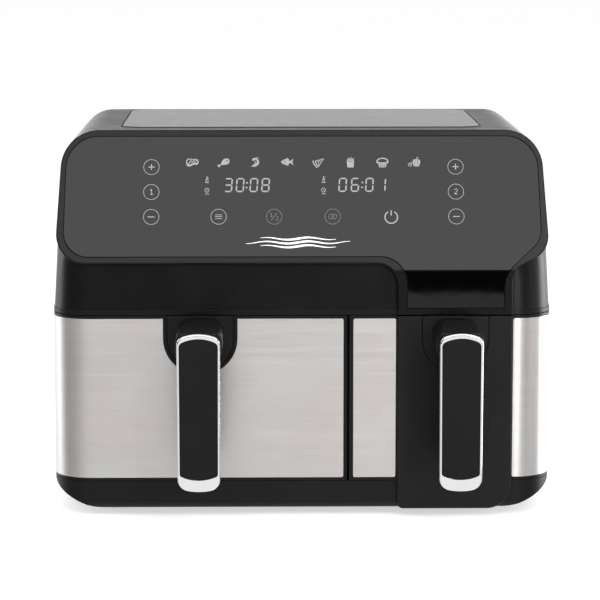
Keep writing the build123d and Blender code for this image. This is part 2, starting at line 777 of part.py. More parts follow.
def handle_plate(bay):
    """The U-shaped plate behind the handle's neck."""
    front = face_y(bay) - 0.2
    back = front + 2.0
    with BuildPart() as plate:
        add(front_block(*u_outline(bay.handle_x, PLATE_HALF, DRAWER_HIGH - 0.4), front, back))
        chamfer(plate.faces().sort_by(Axis.Y)[0].edges(), 0.4)
    return plate.part


def crowned_block(bay, side, ends, crowns, rounds, front, back):
    """The grip's front view with bowed ends, set in at the sides by side, between two depths.

    ends, crowns and rounds each give the foot's value and then the top's.
    """
    x = bay.handle_x
    foot, head = GRIP_FOOT_HALF - side, GRIP_TOP_HALF - side
    low, high = ends[0] + crowns[0], ends[1] - crowns[1]
    with BuildPart() as block:
        with BuildSketch(Plane.XZ.offset(-back)) as outline:
            with BuildLine():
                Line((x - foot, low), (x - head, high))
                ThreePointArc((x - head, high), (x, ends[1]), (x + head, high))
                Line((x + head, high), (x + foot, low))
                ThreePointArc((x + foot, low), (x, ends[0]), (x - foot, low))
            make_face()
            fillet(outline.vertices().sort_by(Axis.Y)[:2], rounds[0])
            fillet(outline.vertices().sort_by(Axis.Y)[-2:], rounds[1])
        extrude(amount=back - front)
    return block.part


def neck_arch(bay, front, back):
    """The neck's front view: bowed on top, round at all four corners."""
    x = bay.handle_x
    shoulder_z = NECK_HIGH - 3.0
    with BuildPart() as arch:
        with BuildSketch(Plane.XZ.offset(-back)) as outline:
            with BuildLine():
                Line((x - NECK_HALF, shoulder_z), (x - NECK_HALF, NECK_LOW))
                Line((x - NECK_HALF, NECK_LOW), (x + NECK_HALF, NECK_LOW))
                Line((x + NECK_HALF, NECK_LOW), (x + NECK_HALF, shoulder_z))
                ThreePointArc((x + NECK_HALF, shoulder_z), (x, NECK_HIGH), (x - NECK_HALF, shoulder_z))
            make_face()
            fillet(outline.vertices().sort_by(Axis.Y)[:2], 9)
            fillet(outline.vertices().sort_by(Axis.Y)[-2:], 11)
        extrude(amount=back - front)
    return arch.part


def handle_neck(bay):
    """The neck from the drawer front to the grip, with a narrower web inside the elbow."""
    x, root = bay.handle_x, face_y(bay) - 0.2
    nose = TRIM_BACK + 3.5
    drop = 3.8
    with BuildPart() as neck:
        add(neck_arch(bay, nose, root))
        side = [(root, NECK_LOW), (root, NECK_HIGH), (nose, NECK_HIGH - drop), (nose, NECK_LOW)]
        add(side_block(side, [0, 0, 0, 0]), mode=Mode.INTERSECT)
        fillet(neck.faces().sort_by(Axis.Y)[0].edges(), 1.0)
        inner = GRIP_BACK - 2
        web = [(GRIP_BACK + ELBOW, NECK_LOW), (GRIP_BACK + ELBOW, NECK_LOW + 2), (inner, NECK_LOW + 2)]
        web += [(inner, NECK_LOW - ELBOW), (GRIP_BACK, NECK_LOW - ELBOW)]
        add(side_block(web, [0, 0, 0, 0, 0], x - ELBOW_HALF, x + ELBOW_HALF))
    return neck.part


def grip_back(bay):
    """The rear half of the grip, with a well rounded back."""
    inset = 0.7
    ends = (GRIP_LOW + inset, GRIP_HIGH - inset)
    with BuildPart() as back:
        add(crowned_block(bay, inset, ends, GRIP_CROWNS, (8.5, 5.5), TRIM_BACK, GRIP_BACK))
        fillet(back.faces().sort_by(Axis.Y)[-1].edges(), 5)
    return back.part


def handle_core(bay):
    """The black handle body: a neck out of the drawer front, and the rear half of the grip."""
    with BuildPart() as core:
        add(handle_neck(bay))
        add(grip_back(bay))
    return core.part


def handle_trim(bay):
    """The chrome frame round the front of the grip, deepest at its foot."""
    with BuildPart() as trim:
        ends = (GRIP_LOW, GRIP_HIGH)
        add(crowned_block(bay, 0, ends, GRIP_CROWNS, (9.5, 6), GRIP_FRONT, TRIM_BACK))
        fillet(trim.faces().sort_by(Axis.Y)[0].edges(), 1.2)
        opening = (INSERT_LOW, INSERT_HIGH)
        add(crowned_block(bay, TRIM_WALL, opening, INSERT_CROWNS, (2.8, 4.2), -FAR, FAR), mode=Mode.SUBTRACT)
    return trim.part


def handle_insert(bay):
    """The black facing let into the chrome frame."""
    with BuildPart() as insert:
        side = TRIM_WALL + INSERT_GAP
        ends = (INSERT_LOW + INSERT_GAP, INSERT_HIGH - INSERT_GAP)
        add(crowned_block(bay, side, ends, INSERT_CROWNS, (2.7, 4.1), INSERT_FRONT, TRIM_BACK))
        fillet(insert.faces().sort_by(Axis.Y)[0].edges(), 0.6)
    return insert.part


PAN_DRAFT = 3.0
PAN_CORNER = 24.0


def pan_block(bay, inset, low):
    """The pan's tapered inside or outside, wider at the rim."""
    depth = PAN_BACK - PAN_FRONT
    middle_y = (PAN_FRONT + PAN_BACK) / 2
    with BuildPart() as block:
        for z, less in ((low, PAN_DRAFT), (RIM_LOW + RIM, 0.0)):
            with BuildSketch(Plane.XY.offset(z)):
                with Locations((bay.middle, middle_y)):
                    across = 2 * (bay.pan_half - inset - less)
                    along = depth - 2 * (3.2 + inset + less)
                    RectangleRounded(across, along, PAN_CORNER - inset - less)
        loft()
        fillet(block.faces().sort_by(Axis.Z)[0].edges(), 8)
    return block.part


def pan(bay):
    """The non-stick pan, with a rim that slides on the chamber's runners."""
    middle_y = (PAN_FRONT + PAN_BACK) / 2
    with BuildPart() as tub:
        add(pan_block(bay, 0, PAN_LOW))
        with BuildSketch(Plane.XY.offset(RIM_LOW)):
            with Locations((bay.middle, middle_y)):
                RectangleRounded(2 * bay.pan_half + 6.0, PAN_BACK - PAN_FRONT, PAN_CORNER + 3)
        extrude(amount=RIM)
        lug_low = (bay.middle - 30, PAN_FRONT, PAN_LOW + 30)
        add(box_between(lug_low, (bay.middle + 30, PAN_FRONT + 12, RIM_LOW)))
        add(pan_block(bay, PAN_WALL, PAN_LOW + PAN_WALL), mode=Mode.SUBTRACT)
    return tub.part


def crisper_plate(bay):
    """The perforated plate that the food lies on."""
    middle_y = (PAN_FRONT + PAN_BACK) / 2
    half_x = bay.pan_half - PAN_WALL - PAN_DRAFT - 1.6
    half_y = (PAN_BACK - PAN_FRONT) / 2 - 3.2 - PAN_WALL - PAN_DRAFT - 1.6
    with BuildPart() as plate:
        with BuildSketch(Plane.XY.offset(PLATE_LOW)):
            with Locations((bay.middle, middle_y)):
                RectangleRounded(2 * half_x, 2 * half_y, 17)
                pitch = 15.0
                across, along = int((2 * half_x - 24) / pitch), int((2 * half_y - 24) / pitch)
                with GridLocations(pitch, pitch, across, along):
                    Circle(4.2, mode=Mode.SUBTRACT)
        extrude(amount=PLATE_T)
    return plate.part


def plate_bumpers(bay):
    """Four silicone feet that hold the plate off the pan's floor."""
    middle_y = (PAN_FRONT + PAN_BACK) / 2
    reach_x = bay.pan_half - PAN_WALL - PAN_DRAFT - 14.0
    reach_y = (PAN_BACK - PAN_FRONT) / 2 - 3.2 - PAN_WALL - PAN_DRAFT - 14.0
    places = [(bay.middle + sx * reach_x, middle_y + sy * reach_y) for sx in (-1, 1) for sy in (-1, 1)]
    with BuildPart() as group:
        with Locations(*[(x, y, PAN_LOW + PAN_WALL + 0.3) for x, y in places]):
            Cylinder(5, PLATE_LOW - PAN_LOW - PAN_WALL - 0.3, align=(Align.CENTER, Align.CENTER, Align.MIN))
    return group.part


# ---- Build and write every piece ----
def main():
    os.makedirs("parts", exist_ok=True)
    save(base_tray(), "base_tray")
    save(feet(), "feet")
    for name, sign in (("left", -1), ("right", 1)):
        save(side_wall(sign, 0, STEEL, BODY_FRONT), f"{name}_side_skin")
        save(side_wall(sign, STEEL + 0.2, STEEL + 2.4, BULKHEAD_BACK), f"{name}_side_panel")
    save(chassis(), "chassis")
    save(rear_cover(), "rear_cover")
    save(cord_inlet(), "cord_inlet")
    save(housing_screws(), "housing_screws")
    save(head_housing(), "head_housing")
    save(panel_bezel(), "panel_bezel")
    save(control_panel(), "control_panel")
    save(display_board(), "display_board")
    save(top_panel(), "top_panel")
    save(power_board(), "power_board")
    save(drawer_band(), "right_drawer_band")
    left_bay, right_bay = BAYS
    save(drawer_skin(left_bay, left_bay.skin_spans[0]), "left_drawer_skin")
    save(drawer_skin(right_bay, right_bay.skin_spans[0]), "right_drawer_inner_skin")
    save(drawer_skin(right_bay, right_bay.skin_spans[1]), "right_drawer_outer_skin")
    for bay in BAYS:
        makers = {
            "chamber": chamber,
            "heater": heater,
            "heater_guard": heater_guard,
            "motor": motor,
            "motor_bracket": motor_bracket,
            "drawer_switch": switch,
            "switch_plunger": plunger,
            "motor_shaft": shaft,
            "drawer_front": drawer_front,
            "inner_cover": inner_cover,
            "handle_plate": handle_plate,
            "handle_core": handle_core,
            "handle_trim": handle_trim,
            "handle_insert": handle_insert,
            "pan": pan,
            "crisper_plate": crisper_plate,
            "plate_bumpers": plate_bumpers,
        }
        for name, make in makers.items():
            save(make(bay), f"{bay.name}_{name}")
        save(fan(bay, bay.wheel_r, 188, 200, 10, True), f"{bay.name}_hot_air_fan")
        save(fan(bay, 34, 216, 226, 7, False), f"{bay.name}_cooling_fan")


main()
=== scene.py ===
"""The twin-drawer air fryer's look: materials, panel symbols, floor, light and camera."""
import json
import math

import bmesh
import bpy
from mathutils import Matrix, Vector
from mathutils.geometry import tessellate_polygon


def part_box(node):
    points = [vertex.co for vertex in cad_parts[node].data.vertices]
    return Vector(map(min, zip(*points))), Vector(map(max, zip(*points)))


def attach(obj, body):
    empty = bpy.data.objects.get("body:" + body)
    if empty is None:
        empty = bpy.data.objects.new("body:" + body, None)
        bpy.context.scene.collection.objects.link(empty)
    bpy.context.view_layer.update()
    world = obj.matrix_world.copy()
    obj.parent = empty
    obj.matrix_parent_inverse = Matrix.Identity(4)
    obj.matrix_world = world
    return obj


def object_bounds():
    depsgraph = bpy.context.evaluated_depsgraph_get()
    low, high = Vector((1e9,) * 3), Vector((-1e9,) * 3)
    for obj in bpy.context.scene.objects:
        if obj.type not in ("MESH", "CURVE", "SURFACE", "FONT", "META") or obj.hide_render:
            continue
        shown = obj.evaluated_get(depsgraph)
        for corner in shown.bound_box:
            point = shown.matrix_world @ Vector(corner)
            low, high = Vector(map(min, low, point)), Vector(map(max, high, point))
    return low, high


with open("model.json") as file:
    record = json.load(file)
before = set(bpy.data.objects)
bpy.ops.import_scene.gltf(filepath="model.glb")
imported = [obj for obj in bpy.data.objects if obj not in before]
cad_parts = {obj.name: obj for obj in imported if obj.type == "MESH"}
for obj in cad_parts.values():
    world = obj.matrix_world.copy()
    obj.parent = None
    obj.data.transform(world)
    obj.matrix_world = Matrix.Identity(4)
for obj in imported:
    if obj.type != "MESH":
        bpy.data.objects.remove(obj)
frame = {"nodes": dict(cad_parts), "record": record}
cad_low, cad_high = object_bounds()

# The panel's plane, in metres: the glass leans back above the foot line
SLOPE = math.radians(20)
SLOPE_FOOT = 0.1962
GLASS_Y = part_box("control_panel")[0].y
FRONT_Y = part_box("left_drawer_front")[0].y
MM = 0.001
SHEET_EDGE = 0.3 * MM  # how far the rounding shows round the edges of sheet parts


# ---------------------------------------------------------------- materials


class Look:
    """One procedural material. Its patterns are measured in metres on the object."""

    def __init__(self, name, fixed=None):
        self.material = bpy.data.materials.new(name)
        self.material.use_nodes = True
        self.tree = self.material.node_tree
        self.shader = self.tree.nodes["Principled BSDF"]
        self.place = self.tree.nodes.new("ShaderNodeTexCoord").outputs["Object"]
        self.normal = None
        for socket, value in (fixed or {}).items():
            self.shader.inputs[socket].default_value = value

    def add(self, kind, inputs, **settings):
        made = self.tree.nodes.new(kind)
        for key, value in settings.items():
            setattr(made, key, value)
        for key, value in inputs.items():
            if isinstance(value, bpy.types.NodeSocket):
                self.tree.links.new(value, made.inputs[key])
            else:
                made.inputs[key].default_value = value
        return made

    def stretched(self, stretch):
        """The place on the object, with the pattern drawn out along some axes."""
        if stretch is None:
            return self.place
        drawn_out = self.add("ShaderNodeVectorMath", {0: self.place, 1: stretch}, operation="MULTIPLY")
        return drawn_out.outputs[0]

    def noise(self, size, stretch=None, detail=3.0, rough=0.55, warp=0.0):
        """A cloudy pattern whose features are about size across."""
        inputs = {"Vector": self.stretched(stretch), "Scale": 1 / size, "Detail": detail}
        inputs.update({"Roughness": rough, "Distortion": warp})
        return self.add("ShaderNodeTexNoise", inputs).outputs["Fac"]

    def cells(self, size, stretch=None, feature="F1"):
        """The distance to the middle of the nearest cell."""
        inputs = {"Vector": self.stretched(stretch), "Scale": 1 / size}
        return self.add("ShaderNodeTexVoronoi", inputs, feature=feature).outputs["Distance"]

    def span(self, value, low, high, start, end):
        """The value, with low to high made into start to end."""
        inputs = {"Value": value, "From Min": low, "From Max": high, "To Min": start, "To Max": end}
        return self.add("ShaderNodeMapRange", inputs).outputs["Result"]

    def blend(self, factor, first, second, mode="MIX"):
        """A colour between two others."""
        made = self.add("ShaderNodeMix", {0: factor}, data_type="RGBA", blend_type=mode)
        for socket, value in ((made.inputs[6], first), (made.inputs[7], second)):
            if isinstance(value, bpy.types.NodeSocket):
                self.tree.links.new(value, socket)
            else:
                socket.default_value = (*value, 1.0)
        return made.outputs[2]

    def total(self, first, second, operation="ADD"):
        """Two values, worked together."""
        return self.add("ShaderNodeMath", {0: first, 1: second}, operation=operation).outputs[0]

    def soft_edges(self, radius):
        """Sharp edges catch the light as if they were slightly rounded."""
        self.normal = self.add("ShaderNodeBevel", {"Radius": radius}, samples=4).outputs[0]

    def bump(self, height, depth):
        """Fine relief of that depth, in metres."""
        inputs = {"Height": height, "Distance": depth, "Strength": 1.0}
        if self.normal:
            inputs["Normal"] = self.normal
        self.normal = self.add("ShaderNodeBump", inputs).outputs[0]

    def finish(self, colour, roughness):
        """Joins the patterns to the shader and gives the material."""
        self.tree.links.new(colour, self.shader.inputs["Base Color"])
        self.tree.links.new(roughness, self.shader.inputs["Roughness"])
        if self.normal:
            self.tree.links.new(self.normal, self.shader.inputs["Normal"])
        return self.material


def cool(tone):
    """A grey with a trace of blue."""
    return (tone, tone, tone * 1.04)


def moulded(name, dark, light, roughness, reflection=0.5, depth=0.000006):
    """Moulded plastic: a fine even grain, faint cloudiness and slightly rounded edges."""
    look = Look(name, {"Specular IOR Level": reflection})
    look.soft_edges(0.0004)
    cloud = look.noise(0.035, detail=4.0)
    speck = look.noise(0.0005, detail=2.0)
    look.bump(speck, depth)
    mixed = look.total(look.span(cloud, 0.3, 0.7, 0.0, 0.75), look.span(speck, 0.3, 0.7, 0.0, 0.25))
    colour = look.blend(mixed, dark, light)
    return look.finish(colour, look.span(mixed, 0.0, 1.0, *roughness))


def brushed(name, dark, light, roughness, across, patch):
    """Brushed sheet: fine streaks along one way, broader soft bands and faint tinted patches."""
    look = Look(name, {"Metallic": 1.0, "Anisotropic": 0.65, "Anisotropic Rotation": 0.25})
    look.soft_edges(SHEET_EDGE)
    fine = look.noise(0.0005, across, detail=3.0, rough=0.6)
    broad = look.noise(0.0042, across, detail=3.0, rough=0.5)
    cloud = look.noise(0.05, detail=2.0, rough=0.4)
    look.bump(fine, 0.0000028)
    streak = look.total(look.span(fine, 0.3, 0.7, 0.0, 0.7), look.span(broad, 0.3, 0.7, 0.0, 0.3))
    colour = look.blend(streak, dark, light)
    colour = look.blend(look.span(cloud, 0.42, 0.66, 0.0, 1.0), colour, patch, mode="MULTIPLY")
    around = look.add("ShaderNodeTangent", {}, direction_type="RADIAL", axis="Z").outputs[0]
    look.tree.links.new(around, look.shader.inputs["Tangent"])
    return look.finish(colour, look.span(streak, 0.0, 1.0, *roughness))


def glossy(name, dark, light, roughness, reflection):
    """Gloss sheet: faint smears in the gloss, and a very slight waviness."""
    look = Look(name, {"Specular IOR Level": reflection})
    look.soft_edges(SHEET_EDGE)
    wave = look.noise(0.03, detail=2.0)
    smear = look.noise(0.012, (1.0, 1.0, 0.35), detail=5.0, warp=0.6)
    look.bump(wave, 0.000015)
    mixed = look.total(look.span(wave, 0.3, 0.7, 0.0, 0.5), look.span(smear, 0.3, 0.7, 0.0, 0.5))
    colour = look.blend(mixed, dark, light)
    return look.finish(colour, look.span(mixed, 0.0, 1.0, *roughness))


def coated(name, dark, light, roughness):
    """Non-stick coating: a dark base with small pale and bright specks."""
    look = Look(name, {"Coat Weight": 0.25, "Coat Roughness": 0.25})
    look.soft_edges(0.0005)
    orange = look.noise(0.0016, detail=3.0)
    speck = look.span(look.cells(0.0028), 0.1, 0.2, 1.0, 0.0)
    thin = look.span(look.noise(0.004, detail=2.0), 0.5, 0.6, 0.0, 1.0)
    look.bump(orange, 0.00003)
    shown = look.total(speck, thin, "MULTIPLY")
    colour = look.blend(look.span(orange, 0.3, 0.7, 0.0, 0.35), dark, light)
    colour = look.blend(look.total(shown, 0.55, "MULTIPLY"), colour, (0.2, 0.2, 0.21))
    return look.finish(colour, look.span(orange, 0.3, 0.7, *roughness))


def bare_metal(name, dark, light, roughness, stain=None, depth=0.000008):
    """Plain sheet or wire: rolling marks, dull clouds and, near heat, a stain."""
    look = Look(name, {"Metallic": 1.0})
    look.soft_edges(SHEET_EDGE)
    cloud = look.noise(0.022, detail=5.0, rough=0.6)
    fine = look.noise(0.0007, (1.0, 0.08, 1.0), detail=3.0)
    look.bump(fine, depth)
    mixed = look.total(look.span(cloud, 0.3, 0.7, 0.0, 0.7), look.span(fine, 0.3, 0.7, 0.0, 0.3))
    colour = look.blend(mixed, dark, light)
    if stain:
        colour = look.blend(look.span(cloud, 0.5, 0.68, 0.0, 0.6), colour, stain)
    return look.finish(colour, look.span(mixed, 0.0, 1.0, *roughness))


def circuit_board(name):
    """Green board with paler tracks under the lacquer."""
    look = Look(name, {"Coat Weight": 0.5, "Coat Roughness": 0.2})
    track = look.cells(0.006, feature="DISTANCE_TO_EDGE")
    line = look.span(track, 0.05, 0.09, 1.0, 0.0)
    cloud = look.noise(0.01, detail=3.0)
    look.bump(line, 0.00004)
    colour = look.blend(cloud, (0.008, 0.05, 0.02), (0.012, 0.08, 0.032))
    colour = look.blend(look.total(line, 0.7, "MULTIPLY"), colour, (0.03, 0.2, 0.08))
    return look.finish(colour, look.span(cloud, 0.3, 0.7, 0.35, 0.5))


def printed(name, dark, light, glow):
    """Screen print or a lit window: slightly uneven ink that gives off some light of its own."""
    look = Look(name, {"Emission Strength": glow})
    ink = look.noise(0.0012, detail=3.0)
    colour = look.blend(look.span(ink, 0.3, 0.7, 0.0, 1.0), dark, light)
    look.tree.links.new(colour, look.shader.inputs["Emission Color"])
    look.bump(ink, 0.000004)
    return look.finish(colour, look.span(ink, 0.3, 0.7, 0.4, 0.6))


SIDEWAYS = (0.02, 0.02, 1.0)

# Black plastics: the darkest and lightest tone, the roughness from and to, and the reflection
BLACK_PLASTICS = {
    "body_plastic": (0.0026, 0.0044, (0.28, 0.36), 0.26),
    "base_plastic": (0.0026, 0.0044, (0.34, 0.42), 0.26),
    "frame_plastic": (0.012, 0.018, (0.5, 0.6), 0.5),
    "band_plastic": (0.0045, 0.0068, (0.34, 0.42), 0.26),
    "bezel_plastic": (0.0035, 0.0055, (0.24, 0.3), 0.19),
    "handle_plastic": (0.0045, 0.0068, (0.38, 0.46), 0.26),
}
# Plain metals: the darkest and lightest tone, and the roughness from and to
PLAIN_METALS = {
    "screw_steel": (0.05, 0.09, (0.35, 0.5)),
    "chamber_steel": (0.36, 0.5, (0.3, 0.45)),
    "motor_steel": (0.4, 0.55, (0.3, 0.45)),
    "fan_metal": (0.55, 0.72, (0.28, 0.42)),
}
looks = {}
for name, (dark, light, roughness, reflection) in BLACK_PLASTICS.items():
    looks[name] = moulded(name, cool(dark), cool(light), roughness, reflection)
for name, (dark, light, roughness) in PLAIN_METALS.items():
    looks[name] = bare_metal(name, (dark,) * 3, (light,) * 3, roughness)
looks["switch_plastic"] = moulded("switch_plastic", (0.4, 0.4, 0.37), (0.52, 0.52, 0.49), (0.4, 0.5))
looks["rubber"] = moulded("rubber", (0.012,) * 3, (0.022,) * 3, (0.65, 0.8), depth=0.00002)
looks["panel_gloss"] = glossy("panel_gloss", cool(0.0008), cool(0.0014), (0.012, 0.03), 0.33)
looks["top_plastic"] = glossy("top_plastic", (0.009, 0.0086, 0.0087), (0.011, 0.0105, 0.0106),
                              (0.2, 0.23), 0.35)
looks["steel_skin"] = brushed("steel_skin", (0.7, 0.687, 0.671), (0.78, 0.766, 0.75), (0.34, 0.42),
                              SIDEWAYS, patch=(1.0, 0.95, 0.945))
looks["heater_steel"] = bare_metal("heater_steel", (0.13, 0.12, 0.115), (0.24, 0.225, 0.21), (0.4, 0.6),
                                   stain=(0.16, 0.1, 0.06))
looks["chrome_trim"] = bare_metal("chrome_trim", (0.82, 0.82, 0.83), (0.88, 0.88, 0.89), (0.03, 0.06),
                                  depth=0.0000006)
looks["board"] = circuit_board("board")
looks["non_stick"] = coated("non_stick", (0.012, 0.012, 0.0125), (0.03, 0.03, 0.031), (0.34, 0.46))
insert_look = moulded("insert_plastic", cool(0.003), cool(0.0048), (0.46, 0.54), 0.22, depth=0.00001)
print_look = printed("printed_symbols", (0.24,) * 3, (0.29,) * 3, 0.5)
dim_look = printed("dim_symbols", (0.1,) * 3, (0.13,) * 3, 0.5)
lit_look = printed("lit_digits", (0.12,) * 3, (0.14,) * 3, 2.4)
mark_look = printed("front_mark", (0.75,) * 3, (0.85,) * 3, 0.7)


def paint(obj, material):
    obj.data.materials.clear()
    obj.data.materials.append(material)


slot_of = {}
for part in frame["record"]["subparts"]:
    slot_of[part["node"]] = part["material_slot"]
for name, node in frame["nodes"].items():
    paint(node, insert_look if name.endswith("handle_insert") else looks[slot_of[name]])


# ---------------------------------------------------------------- the panel's symbols
# Drawn in millimetres across (x) and up the panel (v), then set on the glass


def on_glass(x, v, lift):
    """A point on the sloping glass: x from the middle, v up the slope and lift off it, all in mm."""
    out = v * math.sin(SLOPE) - lift * math.cos(SLOPE)
    up = v * math.cos(SLOPE) + lift * math.sin(SLOPE)
    return Vector((x * MM, GLASS_Y + out * MM, SLOPE_FOOT + up * MM))


def arc(x, v, radius, start, end, squash=1.0, steps=24):
    """Points round a centre, from one angle to another, in degrees."""
    turns = [math.radians(start + (end - start) * i / steps) for i in range(steps + 1)]
    return [(x + radius * math.cos(t), v + radius * squash * math.sin(t)) for t in turns]


def disc(x, v, radius, squash=1.0, steps=32):
    return arc(x, v, radius, 0, 360, squash, steps)[:-1]


def stroke(points, width, end_width=None):
    """The outline of a line, which may taper to its end."""
    end_width = width if end_width is None else end_width
    line = [Vector(p) for p in points]
    left, right = [], []
    for i, point in enumerate(line):
        along = line[min(i + 1, len(line) - 1)] - line[max(i - 1, 0)]
        across = Vector((-along.y, along.x)).normalized()
        half = (width + (end_width - width) * i / (len(line) - 1)) / 2
        left.append(tuple(point + across * half))
        right.append(tuple(point - across * half))
    return left + right[::-1]


def smooth(points, steps=5, closed=True):
    """A curve through the points."""
    count = len(points)
    line = []
    for i in range(count if closed else count - 1):
        near = [i + k for k in (-1, 0, 1, 2)]
        near = [k % count if closed else min(max(k, 0), count - 1) for k in near]
        a, b, c, d = (Vector(points[k]) for k in near)
        for s in range(steps):
            t = s / steps
            p = 2 * b + (c - a) * t + (2 * a - 5 * b + 4 * c - d) * t**2 + (3 * b - a - 3 * c + d) * t**3
            line.append(tuple(p / 2))
    return line if closed else line + [tuple(points[-1])]


def ring(x, v, radius, width):
    return [disc(x, v, radius, steps=48), disc(x, v, radius - width, steps=48)]


def moved(shapes, x, v, scale=1.0):
    return [[[(x + a * scale, v + b * scale) for a, b in loop] for loop in shape] for shape in shapes]


def steak():
    edge = smooth([(-5, 0.2), (-4.2, 2.5), (-2, 3.1), (0.8, 2.7), (3.3, 2.9), (5, 1.1), (4.7, -1.2),
                   (3, -2.1), (1.2, -1.9), (-0.4, -2.7), (-2.4, -3.4), (-4.3, -2.8)])
    meat = smooth([(-4.1, 0.5), (-3.4, 2.0), (-1.8, 2.4), (0.9, 2.0), (3.2, 2.1), (4.1, 0.7), (3.3, -0.6),
                   (1.2, -0.4), (-0.5, -1.1), (-2.4, -1.7), (-3.8, -1.1)])
    feet = ((-2.0, -1.1), (0.3, -0.6), (2.5, -0.2))
    bars = [[stroke([(a - 1.0, foot), (a + 1.3, 1.9)], 0.75)] for a, foot in feet]
    return [[edge, meat], *bars]


def drumstick():
    meat = smooth([(-1.9, -1.9), (-1.6, 0.3), (0.2, 2.6), (2.8, 3.2), (4.6, 1.9), (4.4, -0.4),
                   (2.5, -1.9), (0.2, -2.1)])
    bone = stroke([(-1.6, -1.5), (-3.4, -2.8)], 0.9)
    knob = smooth([(-3.2, -2.2), (-4.4, -1.9), (-4.9, -2.7), (-4.3, -3.3), (-4.0, -4.0), (-3.1, -3.9),
                   (-2.8, -3.1)])
    return [[meat, disc(2.6, 1.2, 0.55)], [bone], [knob]]


def shrimp():
    back = stroke(arc(-0.2, 0.2, 2.4, 125, -100, 1.05), 1.2, 2.2)
    tail = smooth([(-0.6, -1.5), (-2.3, -2.5), (-3.1, -3.9), (-1.6, -3.4), (-0.9, -3.9), (0.2, -3.1)])
    head = smooth([(-1.9, 1.2), (-2.6, 2.4), (-1.2, 3.5), (0.6, 3.5), (0.4, 2.1), (-0.9, 1.5)])
    feeler = stroke(smooth([(0.2, 3.2), (1.7, 4.0), (2.9, 3.4)], closed=False), 0.35)
    legs = [[stroke([(0.6, 0.9 - k * 0.85), (-0.8, 0.5 - k * 0.85)], 0.35)] for k in range(3)]
    return [[back], [tail], [head, disc(-1.1, 2.7, 0.35)], [feeler], *legs]


def fish():
    body = smooth([(-5, 0), (-3.4, 1.6), (-1, 2.4), (1.4, 1.4), (2.6, 0), (1.4, -1.4), (-1, -2.4),
                   (-3.4, -1.6)])
    tail = [(2.0, 0.5), (4.9, 2.7), (4.1, 0), (4.9, -2.7), (2.0, -0.5)]
    fins = [[(-1.6, 2.1), (0.4, 3.6), (1.5, 1.4)], [(-1.2, -2.1), (0.6, -3.4), (1.3, -1.4)]]
    gill = stroke(arc(-3.1, 0, 1.5, 55, -55), 0.4)
    return [[body, disc(-3.2, 0.5, 0.42), gill], [tail], *[[fin] for fin in fins]]


def pizza():
    slice_edge = [(4.7, 3.5), (-2.9, 1.3), (-2.2, -0.8), (-0.9, -2.7), (0.4, -3.7)]
    inside = [(3.4, 2.5), (-1.8, 0.9), (-1.4, -0.6), (-0.5, -1.9), (0.3, -2.6)]
    crust = stroke([(-4.4, 1.6), (-3.6, -0.8), (-2.2, -2.9), (-0.6, -4.4)], 0.9)
    places = ((0.1, 0.3, 0.6), (1.4, 1.2, 0.5), (0.2, -1.3, 0.45))
    toppings = [[disc(*place)] for place in places]
    return [[slice_edge, inside], [crust], *toppings]


def fries():
    box = [(-3.0, 1.3), (-1.6, 0.7), (0, 0.5), (1.6, 0.7), (3.0, 1.3), (2.5, -4.1), (-2.5, -4.1)]
    tops = ((-2.5, 2.7), (-1.5, 3.9), (-0.5, 3.1), (0.4, 4.5), (1.4, 3.3), (2.4, 3.8))
    return [[box], *[[stroke([(a * 0.92, 0.9), (a, top)], 0.72)] for a, top in tops]]


def muffin():
    cap = smooth([(-4.9, 0.2), (-4.4, 2.2), (-2.5, 3.5), (0, 3.9), (2.5, 3.5), (4.4, 2.2), (4.9, 0.2),
                  (3.6, -0.8), (0, -0.9), (-3.6, -0.8)])
    hollow = smooth([(-3.8, 0.7), (-3.2, 2.0), (-1.8, 2.8), (0, 3.0), (1.8, 2.8), (3.2, 2.0), (3.8, 0.7),
                     (2.4, 0.2), (0, 0.1), (-2.4, 0.2)])
    cup = [(-3.4, -1.1), (3.4, -1.1), (2.5, -4.0), (-2.5, -4.0)]
    pleats = [stroke([(a, -1.7), (a * 0.8, -3.4)], 0.55) for a in (-1.7, 0, 1.7)]
    return [[cap, hollow], [cup, *pleats]]


def vegetables():
    pepper = smooth([(-0.9, 0.9), (-0.2, 2.4), (1.5, 2.2), (3.3, 2.5), (4.9, 1.4), (4.8, -1.4),
                     (3.7, -3.4), (1.8, -3.3), (0.1, -3.3), (-0.8, -1.5)])
    ribs = [stroke(smooth([(a, 1.6), (a + lean, -0.6), (a + lean * 0.6, -2.8)], closed=False), 0.3)
            for a, lean in ((1.0, -0.5), (2.7, 0.5))]
    stalk = stroke(smooth([(1.9, 2.1), (2.2, 3.3), (3.3, 4.2)], closed=False), 0.7)
    stem = stroke([(-2.2, -0.8), (-1.4, 0.2)], 0.4)
    return [[pepper, *ribs], [stalk], ring(-3.2, -2.0, 1.6, 0.5), [disc(-3.2, -2.0, 0.45)], [stem]]


def plus():
    return [[stroke([(-2.4, 0), (2.4, 0)], 0.75)], [stroke([(0, -2.4), (0, 2.4)], 0.75)]]


def minus():
    return [[stroke([(-2.6, 0), (2.6, 0)], 0.75)]]


def numeral_one():
    return [[stroke([(-1.1, 1.2), (0.2, 2.1)], 0.5)], [stroke([(0.2, 2.2), (0.2, -1.9)], 0.6)],
            [stroke([(-1.0, -1.9), (1.4, -1.9)], 0.5)]]


def numeral_two():
    bow = [(-1.1, 1.2), (-0.3, 2.1), (0.9, 1.9), (1.1, 0.8), (0.1, -0.6), (-1.1, -1.8)]
    bow = smooth(bow, closed=False)
    return [[stroke(bow, 0.5)], [stroke([(-1.3, -1.9), (1.4, -1.9)], 0.5)]]


def menu_bars():
    return [[stroke([(-2.7, v), (2.7, v)], 0.5)] for v in (1.5, 0, -1.5)]


